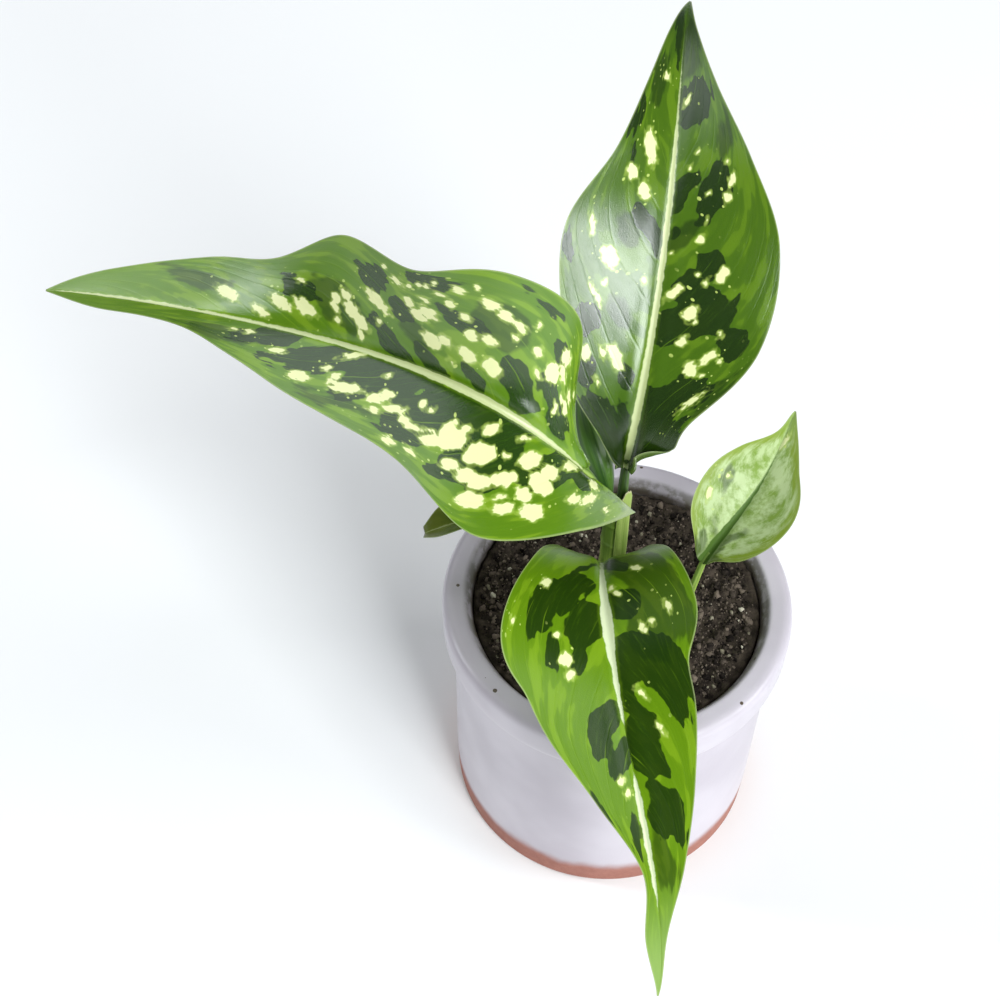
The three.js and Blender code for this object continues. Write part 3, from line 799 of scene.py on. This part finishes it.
BACK_LEAF = {
    "midrib": [(-1.5, 4, 140.5), (-1, -3, 158), (7.5, 33, 198.5), (-0.5, 75, 221), (2.5, 112, 209)],
    "roll": [5, -5, 0],
    "right": {"wide": [1.5, 10.5, 13.5, 27, 28, 19, 9.5, 3.5, TIP_HALF], "lift": [13, 12, 12, 16],
              "sweep": [13, -6, 0, 0, 0]},
    "left": {"wide": [2, 9.5, 19.5, 24, 25.5, 15, 8.5, 4, TIP_HALF], "lift": [12, 10, 15, 17],
             "sweep": [4, 1, 0, 0, 0]},
    "seed": 3.0, "ripple": 0.44, "rib": RIB_DEEP,
    "cream": [
        (.635, -.45, 9, 3), (.59, -.6, 4, 3), (.565, -.33, 5, 3), (.5, -.75, 4, 1.5), (.46, -.52, 6, 4),
        (.405, -.66, 3, 1.2), (.395, -.62, 4, 1.2), (.31, -.38, 5, 3), (.29, -.33, 4, 2.5),
        (.305, -.52, 3, 1.5), (.3, -.72, 4, 2.5), (.25, -.6, 2, 1), (.765, -.48, 2.5, 1.5),
        (.42, -.55, 1.6, 1.4), (.43, -.15, 1.6, 1.4), (.725, .18, 3, 1.1), (.635, .32, 1.1, .8),
        (.61, .2, 1.2, .9), (.62, .68, 1.1, .8), (.59, .68, 3, 1.7), (.565, .6, 2.8, 1.6),
        (.57, .38, 1.1, .8), (.5, .32, 2.2, 1.9), (.53, .36, 1.1, .8), (.45, .3, 1.1, 1.1),
        (.44, .38, 2, 1.4), (.455, .52, 3.9, 2.8), (.42, .13, 5.4, 2.2), (.395, .3, 4.5, 3.2),
        (.385, .37, 1.2, 1.1), (.35, .3, 3, 2.1), (.375, .62, 1.5, 1.3), (.345, .62, 4.6, 1.9),
        (.345, .72, 1.2, 1.2), (.32, .52, 3.9, 3.5), (.32, .66, 1.2, 1.2), (.28, .78, 6, 1.2),
        (.475, .05, 1.2, .9),
    ],
    "dark": [
        (.72, .35, 15, 9), (.58, .15, 13, 5), (.57, .45, 16, 7.5), (.51, .07, 4, 2.5), (.465, .38, 9, 8),
        (.44, .25, 11, 6), (.4, .42, 14, 12), (.365, .15, 13, 9), (.38, .3, 12, 10), (.4, .6, 10, 5),
        (.37, .77, 8, 7), (.23, .35, 24, 17), (.12, .5, 20, 16), (.27, .62, 16, 9), (.17, .15, 14, 8),
        (.28, .8, 12, 4), (.04, .4, 16, 12), (.27, -.75, 9, 7), (.15, -.4, 20, 10), (.18, -.8, 12, 8),
        (.36, -.7, 8, 7), (.27, -.2, 8, 4), (.5, -.12, 20, 4), (.47, -.94, 9, 2.5), (.68, -.88, 12, 3),
        (.62, -.68, 9, 1.5), (.88, -.3, 26, 3), (.05, -.4, 14, 8),
    ],
    "green": [(.31, .27, 15, 8), (.28, .82, 11, 1.6), (.24, -.42, 10, 3)],
    "shade": [
        (.84, .35, 22, 6), (.66, .75, 10, 3), (.38, -.4, 9, 5), (.5, -.4, 10, 5), (.76, -.7, 16, 4),
        (.3, .9, 16, 4), (.5, .12, 12, 4), (.09, -.3, 14, 6),
    ],
    "rib_line": [.3, .8, 1, .9, .8, .75, .7, .25, 0, -.3, -.5],
}
back_finish = leaf_material(
    "back blade", green=(66, 100, 12), fresh=(92, 126, 20), dark=(24, 46, 6), back=(100, 128, 56),
    tip=(50, 80, 12), gloss=0.75)
leaf_pieces(
    "leaf_back", BACK_LEAF, 280, 56, back_finish,
    [(CANE_X + 1.4, CANE_Y, CANE_TOP + GAP), (CANE_X + 1.4, CANE_Y + 0.3, 134)], [1.5, 1.4, 1.2, 0.8],
    stalk_material("dark stalk", paint(36, 58, 18), paint(70, 98, 40), 0.4))

# The left leaf is the largest. It arches out over the pot's side to a long drawn-out tip, one
# half stood up and the other hanging, and it carries the most cream.
LEFT_LEAF = {
    "midrib": [(-9, -5, 148), (-41, -15, 195), (-64, 20, 160), (-130, 27, 165), (-164, 34, 155)],
    "roll": [-2, 26, 6],
    "right": {"wide": [3, 25, 35, 27, 27.5, 17.5, 16, 9, TIP_HALF], "lift": [-10, 59, 34, -2, 23],
              "sweep": [5, 0, 0, 0, 0]},
    "left": {"wide": [0.5, 17, 33.5, 24, 19, 13, 7.5, 6, TIP_HALF], "lift": [11, 7, 16, 32, 9],
             "sweep": [-21, -20, 0, 0, 0]},
    "seed": 11.0, "ripple": 0.5, "rib": RIB_DEEP,
    "cream": [
        (.43, .52, 9, 3), (.475, .33, 6, 3.5), (.455, .27, 6, 3), (.485, .47, 4, 2.5),
        (.425, .33, 2, 1.5), (.455, .15, 2.5, 2), (.395, .82, 4, 1.5), (.375, .83, 1.5, 1.5),
        (.36, .85, 1.5, 1.3), (.345, .86, 1.5, 1.3), (.335, .88, 1.5, 1.3), (.42, .9, 1.5, 1),
        (.375, .66, 3.5, 2.5), (.355, .55, 5, 3), (.34, .6, 6, 3), (.345, .72, 3, 1.2),
        (.325, .78, 3, 1.2), (.31, .7, 2.5, 2.5), (.3, .83, 3.5, 2), (.28, .86, 1.5, 1.5),
        (.33, .33, 6, 4), (.31, .36, 4, 3), (.285, .6, 3, 2), (.275, .45, 3.5, 3), (.262, .74, 5, 2.5),
        (.24, .68, 5, 2.5), (.22, .65, 4, 2), (.25, .45, 4, 2.5), (.275, .3, 5, 3.5), (.235, .27, 6, 4),
        (.295, .18, 3, 1.5), (.22, .55, 2, 1.5), (.2, .72, 2, 1.5), (.185, .55, 3, 2.5), (.14, .7, 5, 3),
        (.15, .5, 6, 4), (.13, .6, 5, 2), (.17, .4, 3, 1.5), (.105, .45, 2, 1.2), (.11, .33, 2.5, 1.2),
        (.09, .6, 4, 1.5), (.09, .45, 5, 1.5), (.11, .3, 1.5, 1.2), (.075, .8, 2, 1.2), (.69, .38, 8, 3),
        (.63, .2, 6, 2.2), (.6, .33, 8, 3), (.555, .28, 8, 3.5), (.57, .6, 3, 1.2), (.505, .42, 3, 3),
        (.505, .33, 3, 2), (.5, .22, 2.5, 1.5), (.46, -.1, 7, 2), (.45, -.55, 9, 3), (.47, -.47, 3, 2),
        (.405, -.5, 5, 2.5), (.39, -.42, 4, 3), (.375, -.5, 6, 2.5), (.355, -.55, 3, 2),
        (.34, -.55, 5, 2), (.405, -.65, 4, 1.5), (.395, -.2, 2, 1.2), (.325, -.28, 2.4, 2.2),
        (.31, -.3, 2, 1.5), (.265, -.27, 1.5, 1.3), (.31, -.45, 2, 1.2), (.38, -.87, 4, 2),
        (.345, -.8, 3.5, 1.4), (.3, -.5, 7, 3.6), (.27, -.42, 8, 6), (.275, -.34, 4, 3.4),
        (.245, -.3, 3, 2.4), (.225, -.43, 8.5, 6), (.205, -.22, 5, 3), (.185, -.4, 2.2, 1.7),
        (.275, -.6, 5, 3), (.25, -.62, 5, 4), (.23, -.65, 6, 4), (.2, -.6, 6, 4), (.185, -.58, 3, 2.6),
        (.21, -.72, 3, 1.6), (.15, -.42, 7.5, 4.2), (.145, -.2, 4, 1.4), (.15, -.62, 7, 6.4),
        (.125, -.5, 7, 4), (.25, -.78, 7, 4.5), (.21, -.8, 6, 3), (.18, -.83, 7, 4.4), (.18, -.7, 5, 4),
        (.11, -.74, 6, 2.6), (.08, -.74, 10, 2.2), (.065, -.3, 7, 3), (.035, -.5, 5, 3),
        (.06, -.87, 3, 1.5), (.63, -.3, 3, 1.5), (.655, -.35, 2, 1.2), (.57, -.45, 4.5, 1.8),
        (.52, -.68, 6, 3), (.49, -.4, 2.5, 1.5), (.475, -.55, 2, 1.5),
    ],
    "dark": [
        (.44, .74, 13, 6), (.385, .55, 9, 6), (.4, .17, 18, 6), (.33, .12, 13, 6), (.34, .9, 16, 4.5),
        (.285, .52, 13, 6), (.185, .24, 16, 8), (.14, .36, 14, 6), (.25, .13, 8, 4), (.205, .87, 16, 2),
        (.09, .3, 12, 5), (.57, .5, 14, 6), (.15, .68, 10, 5), (.6, -.25, 22, 6), (.5, -.28, 28, 9),
        (.4, -.3, 28, 12), (.3, -.28, 28, 14), (.2, -.3, 26, 16), (.12, -.35, 24, 16), (.35, -.65, 16, 8),
        (.25, -.6, 22, 12), (.05, -.4, 14, 8), (.56, -.6, 12, 3),
    ],
    "green": [(.12, -.2, 12, 6), (.29, -.85, 30, 8), (.2, .1, 10, 3), (.13, .22, 10, 3)],
    "shade": [
        (.5, .35, 22, 10), (.24, .6, 16, 12), (.36, .35, 10, 6), (.75, .6, 20, 4), (.66, -.6, 26, 5),
        (.45, -.75, 26, 3),
    ],
    "rib_line": [.1, .7, 1, 1.1, .7, .6, .5, .5, .6, .4, 0],
}
left_finish = leaf_material(
    "left blade", green=(86, 126, 12), fresh=(118, 154, 26), dark=(28, 56, 6), back=(104, 134, 56),
    gloss=0.8)
cane_side = CANE_X - CANE_R - GAP
leaf_pieces(
    "leaf_left", LEFT_LEAF, 330, 60, left_finish,
    [(cane_side - 1.6, CANE_Y - 1, 121), (cane_side - 1.8, CANE_Y - 2.5, 129), (-8, -2.5, 138)],
    [1.4, 1.5, 1.5, 1.1], green_stalk)

# The front leaf grows from low on the cane. It comes forward over the rim and hangs down in
# front of the pot, with its tip curled to one side.
FRONT_LEAF = {
    "midrib": [(-5, -11, 120), (-5, -30, 153), (-2, -63, 133), (23, -94, 104), (21, -106, 68)],
    "roll": [9, -9, 9],
    "right": {"wide": [8.5, 16.5, 26.5, 22.5, 19, 10.5, 2.5, 4, TIP_HALF], "lift": [15, 12, 8, 3],
              "sweep": [-19, 11, 0, 0, 0]},
    "left": {"wide": [7, 17, 22.5, 18.5, 18, 14, 8, 1.5, TIP_HALF], "lift": [11, 15, 6, 0],
             "sweep": [-23, 6, 0, 0, 0]},
    "seed": 23.0, "ripple": 0.35, "rib": RIB_DEEP,
    "cream": [
        (.195, .63, 3.2, 2.2), (.245, .9, 1.6, 1), (.3, .5, 1.6, 1.5), (.355, .5, 3.6, 3.4),
        (.39, .5, 2.4, 2.2), (.595, .25, 2.2, 1.5), (.615, .2, 2.2, 1.5), (.165, -.45, 3.4, 2.4),
        (.22, -.08, 2, 1.5), (.235, -.15, 2, 1.2), (.265, -.68, 3.6, 1.7), (.305, -.52, 1.9, 1.6),
        (.32, -.42, 2.5, 1.6), (.455, -.3, 3, 1.3), (.525, -.5, 3, 1.3),
    ],
    "dark": [
        (.24, .62, 18, 6), (.215, .55, 8, 7), (.215, .3, 16, 8), (.305, .2, 14, 10), (.335, .62, 8, 4),
        (.37, .37, 7, 5), (.145, .2, 8, 3), (.5, .25, 15, 7.5), (.555, .12, 12, 5), (.685, .3, 9, 3),
        (.64, .97, 16, 1.6), (.13, -.2, 9, 5), (.265, -.18, 10, 10), (.39, -.2, 15, 12),
        (.39, -.6, 15, 13), (.42, -.85, 17, 6), (.47, -.72, 16, 5.5), (.46, -.15, 15, 8),
        (.55, -.25, 18, 10), (.66, -.5, 17, 8),
    ],
    "green": [
        (.465, -.4, 10, 5), (.56, -.6, 20, 3.5), (.465, -.08, 3, 1.5), (.545, .2, 7, 1.5),
        (.25, .27, 5, 1.2),
    ],
    # The first three shade marks darken the right half's base to olive, partly the blade's own tone and
    # partly painted shade.
    "shade": [(.17, -.5, 24, 14), (.26, -.6, 24, 15), (.33, -.5, 16, 10), (.74, -.4, 14, 6)],
    "rib_line": [
        0, .2, .3, .55, .8, 1.1, 1.5, 1.3, .7, .5, .2, -1.4, .4, .75, .7, .6, .2, -.5, -.5, -.5, -.5,
    ],
}
# The front blade's pale grey-green tip colour is a lighter tip green with painted sheen on it.
front_finish = leaf_material(
    "front blade", green=(92, 130, 13), fresh=(116, 152, 24), dark=(26, 50, 6), back=(104, 134, 56),
    rib=(206, 216, 176), tip=(134, 166, 84), gloss=0.1, rough=0.3)
leaf_pieces(
    "leaf_front", FRONT_LEAF, 280, 56, front_finish,
    [(CANE_X - 0.5, CANE_Y - CANE_R - GAP - 1.6, 97), (-3.4, -5.6, 106)],
    [1.5, 1.5, 1.5, 1.1], green_stalk)

# The small leaf is the newest blade of a side shoot, on a thin stalk of its own out of the
# soil. It is pale, clouded grey-green and cream, with its tip turned over.
SMALL_LEAF = {
    "midrib": [(22, 2, 106), (29, 8, 122), (39, 17, 125), (40, 31, 129), (44, 42, 128)],
    "roll": [0, -3, -1],
    "right": {"wide": [2.5, 10.5, 15, 8.5, 4, TIP_HALF], "lift": [25, 19, 22, 24],
              "sweep": [3, -4, 0, 0, 0]},
    "left": {"wide": [4, 11.5, 14, 10, 2.5, TIP_HALF], "lift": [25, 21, 21, 26],
             "sweep": [4, -2, 0, 0, 0]},
    "seed": 31.0, "ripple": 0.3, "rib": 0.8,
    "cream": [(.3, -.72, 3.5, 1.3), (.42, -.6, 1.6, 1.3), (.75, .1, 6, 1.5)],
    "shade": [
        (.04, .3, 10, 5), (.04, -.3, 10, 5), (.14, .12, 12, 3), (.14, -.12, 12, 3), (.42, -.62, 12, 1.6),
    ],
    "rib_line": [1.5, 1.3, .9, .55, .3, .15, 0, -.4, -.5],
}
small_finish = leaf_material(
    "small blade", green=(126, 156, 62), fresh=(186, 206, 148), dark=(34, 62, 10), back=(128, 150, 74),
    rib=(82, 114, 42), tip=(140, 168, 80), gloss=0.35, rough=0.4, cloudy=1.0)
leaf_pieces(
    "leaf_small", SMALL_LEAF, 110, 34, small_finish,
    [(*SMALL_STALK, 70), (*SMALL_STALK, 80), (18.7, -2.8, 88), (20.4, -0.4, 96)],
    [SMALL_STALK_R, SMALL_STALK_R, 1.1, 0.9], green_stalk)

# The low leaf is the oldest, small and dull, folded along its midrib. Its dull dark olive is partly
# painted shade, for the shadow of the large leaf over it. It leans out to the left behind the
# large leaf, and only its end shows past it.
LOW_LEAF = {
    "midrib": [(-16, 9.5, 111), (-25, 10, 116), (-36, 8, 113), (-47, 6, 108), (-56, 5, 102)],
    "roll": [0, 6, 0],
    "right": {"wide": [2, 6, 7.5, 7, 6, 6, 5.5, 2], "lift": [50, 55, 45, 25],
              "sweep": [0, 0, 0, 0, 0]},
    "left": {"wide": [2, 5, 6.5, 6, 5.5, 5.5, 5, 2], "lift": [35, 40, 30, 15],
             "sweep": [0, 0, 0, 0, 0]},
    "seed": 47.0, "ripple": 0.2, "rib": 0.8,
    "dark": [(.3, .4, 16, 5), (.3, -.4, 16, 5)],
    "rib_line": [.3, .4, .4, .4, .3, .2],
}
# The low blade's greens are painted darker, as painted shade under the large leaf.
low_shade_darkened_finish = leaf_material(
    "low blade", green=(78, 96, 22), fresh=(104, 120, 36), dark=(48, 62, 16), back=(96, 108, 46),
    rib=(128, 140, 66), tip=(92, 104, 30), gloss=0.5)
leaf_pieces(
    "leaf_low", LOW_LEAF, 70, 20, low_shade_darkened_finish,
    [(cane_side - 0.3, CANE_Y + 2, 116), (-11.5, 8.5, 113)], [1.2, 1.2, 1.1, 0.9], green_stalk)

# The rolled leaf is the next one to open. It is still wound up on itself from margin to margin,
# so that it shows only its back and the free edge that runs up it in a slow spiral.
ROLLED_ROUTE = [
    (CANE_X - 2.1, CANE_Y + 0.8, CANE_TOP + 1), (-6.4, 5.4, 133.5), (-9, 8.5, 139),
    (-12.5, 15, 144), (-16, 23, 149),
]
ROLLED_RADII = [1.1, 3.1, 4, 3, 0.5]


def rolled_swell(run, share, turn):
    """The overlap of the rolled blade, a step that winds slowly round it."""
    behind = (turn - 2.2 - 1.6 * share) % (2 * math.pi)
    return 0.94 + 0.12 * (1 - behind / (2 * math.pi)) + 0.01 * np.sin(9 * turn)


rolled_points, rolled_faces, rolled_fields = tube(ROLLED_ROUTE, ROLLED_RADII, 120, 96, rolled_swell)
# The rolled leaf's greens are painted darker than a young leaf's own, as painted shade for its place
# between the back leaf and the left leaf.
rolled_shade_darkened_finish = stalk_material("rolled leaf", paint(40, 74, 24), paint(84, 122, 44), 0.4)
rolled = mesh_piece("leaf_rolled_up", rolled_points, rolled_faces, rolled_shade_darkened_finish, rolled_fields)
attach(rolled, "root")
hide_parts("leaf_rolled")

# The plant stands on a plain pale floor. Soft daylight falls on it from a tall window at its
# front right, and weaker light comes from the room at both sides and from above, behind it.
FLOOR_HALF = 3000.0
AIM = Vector((0, 0, 0.13))
LIGHT_DISTANCE = 3.0
ROOM_LIGHT = 0.1


def floor_material():
    material, tree, shader = new_material("pale floor")
    spot = own_place(tree)
    colour = mixed(tree, cloud(tree, spot, 3, 2), paint(240, 240, 240), paint(246, 246, 246))
    fill(tree, shader.inputs, {"Base Color": colour, "Roughness": 0.9})
    return material


corners = [(x * FLOOR_HALF, y * FLOOR_HALF, 0) for x, y in ((-1, -1), (1, -1), (1, 1), (-1, 1))]
floor = mesh_piece("floor", corners, [(0, 1, 2, 3)], floor_material())


def soft_light(name, towards, size, watts, tint):
    """A soft light as wide and high as size, in a direction from the plant and turned to face it."""
    lamp = bpy.data.lights.new(name, "AREA")
    lamp.shape = "RECTANGLE"
    lamp.size, lamp.size_y = size
    lamp.energy = watts
    lamp.color = tint
    made = bpy.data.objects.new(name, lamp)
    way = Vector(towards).normalized()
    made.location = AIM + way * LIGHT_DISTANCE
    made.rotation_euler = way.to_track_quat("Z", "Y").to_euler()
    bpy.context.scene.collection.objects.link(made)


soft_light("window", (0.46, -0.60, 0.64), (1.0, 2.4), 104, (0.94, 0.98, 1.0))
soft_light("room_right", (0.88, -0.08, 0.46), (1.3, 1.3), 34, (0.96, 0.98, 1.0))
soft_light("room_left", (-0.80, 0.06, 0.52), (0.45, 1.8), 26, (0.92, 0.96, 1.0))
soft_light("room_back", (-0.40, 0.42, 0.82), (2.4, 2.4), 26, (0.92, 0.96, 1.0))

world = bpy.data.worlds.new("even room light")
world.use_nodes = True
room = world.node_tree.nodes["Background"].inputs
room["Color"].default_value = (0.95, 0.97, 1.0, 1)
room["Strength"].default_value = ROOM_LIGHT
bpy.context.scene.world = world
bpy.context.scene.view_settings.view_transform = "Standard"

# The camera stands in front of the plant and looks down at it, as a person standing near the
# table sees it. Its place, slope, turn and lens are those of the photograph.
CAMERA_AT = (0, -0.2457, 0.4425)
CAMERA_DOWN = 51.8
CAMERA_TURN = 7.81
CAMERA_LENS = 54.0
lens = bpy.data.cameras.new("camera")
lens.lens = CAMERA_LENS
lens.sensor_width = 36.0
camera = bpy.data.objects.new("camera", lens)
camera.location = CAMERA_AT
camera.rotation_euler = (math.radians(90 - CAMERA_DOWN), 0, math.radians(CAMERA_TURN))
bpy.context.scene.collection.objects.link(camera)
bpy.context.scene.camera = camera
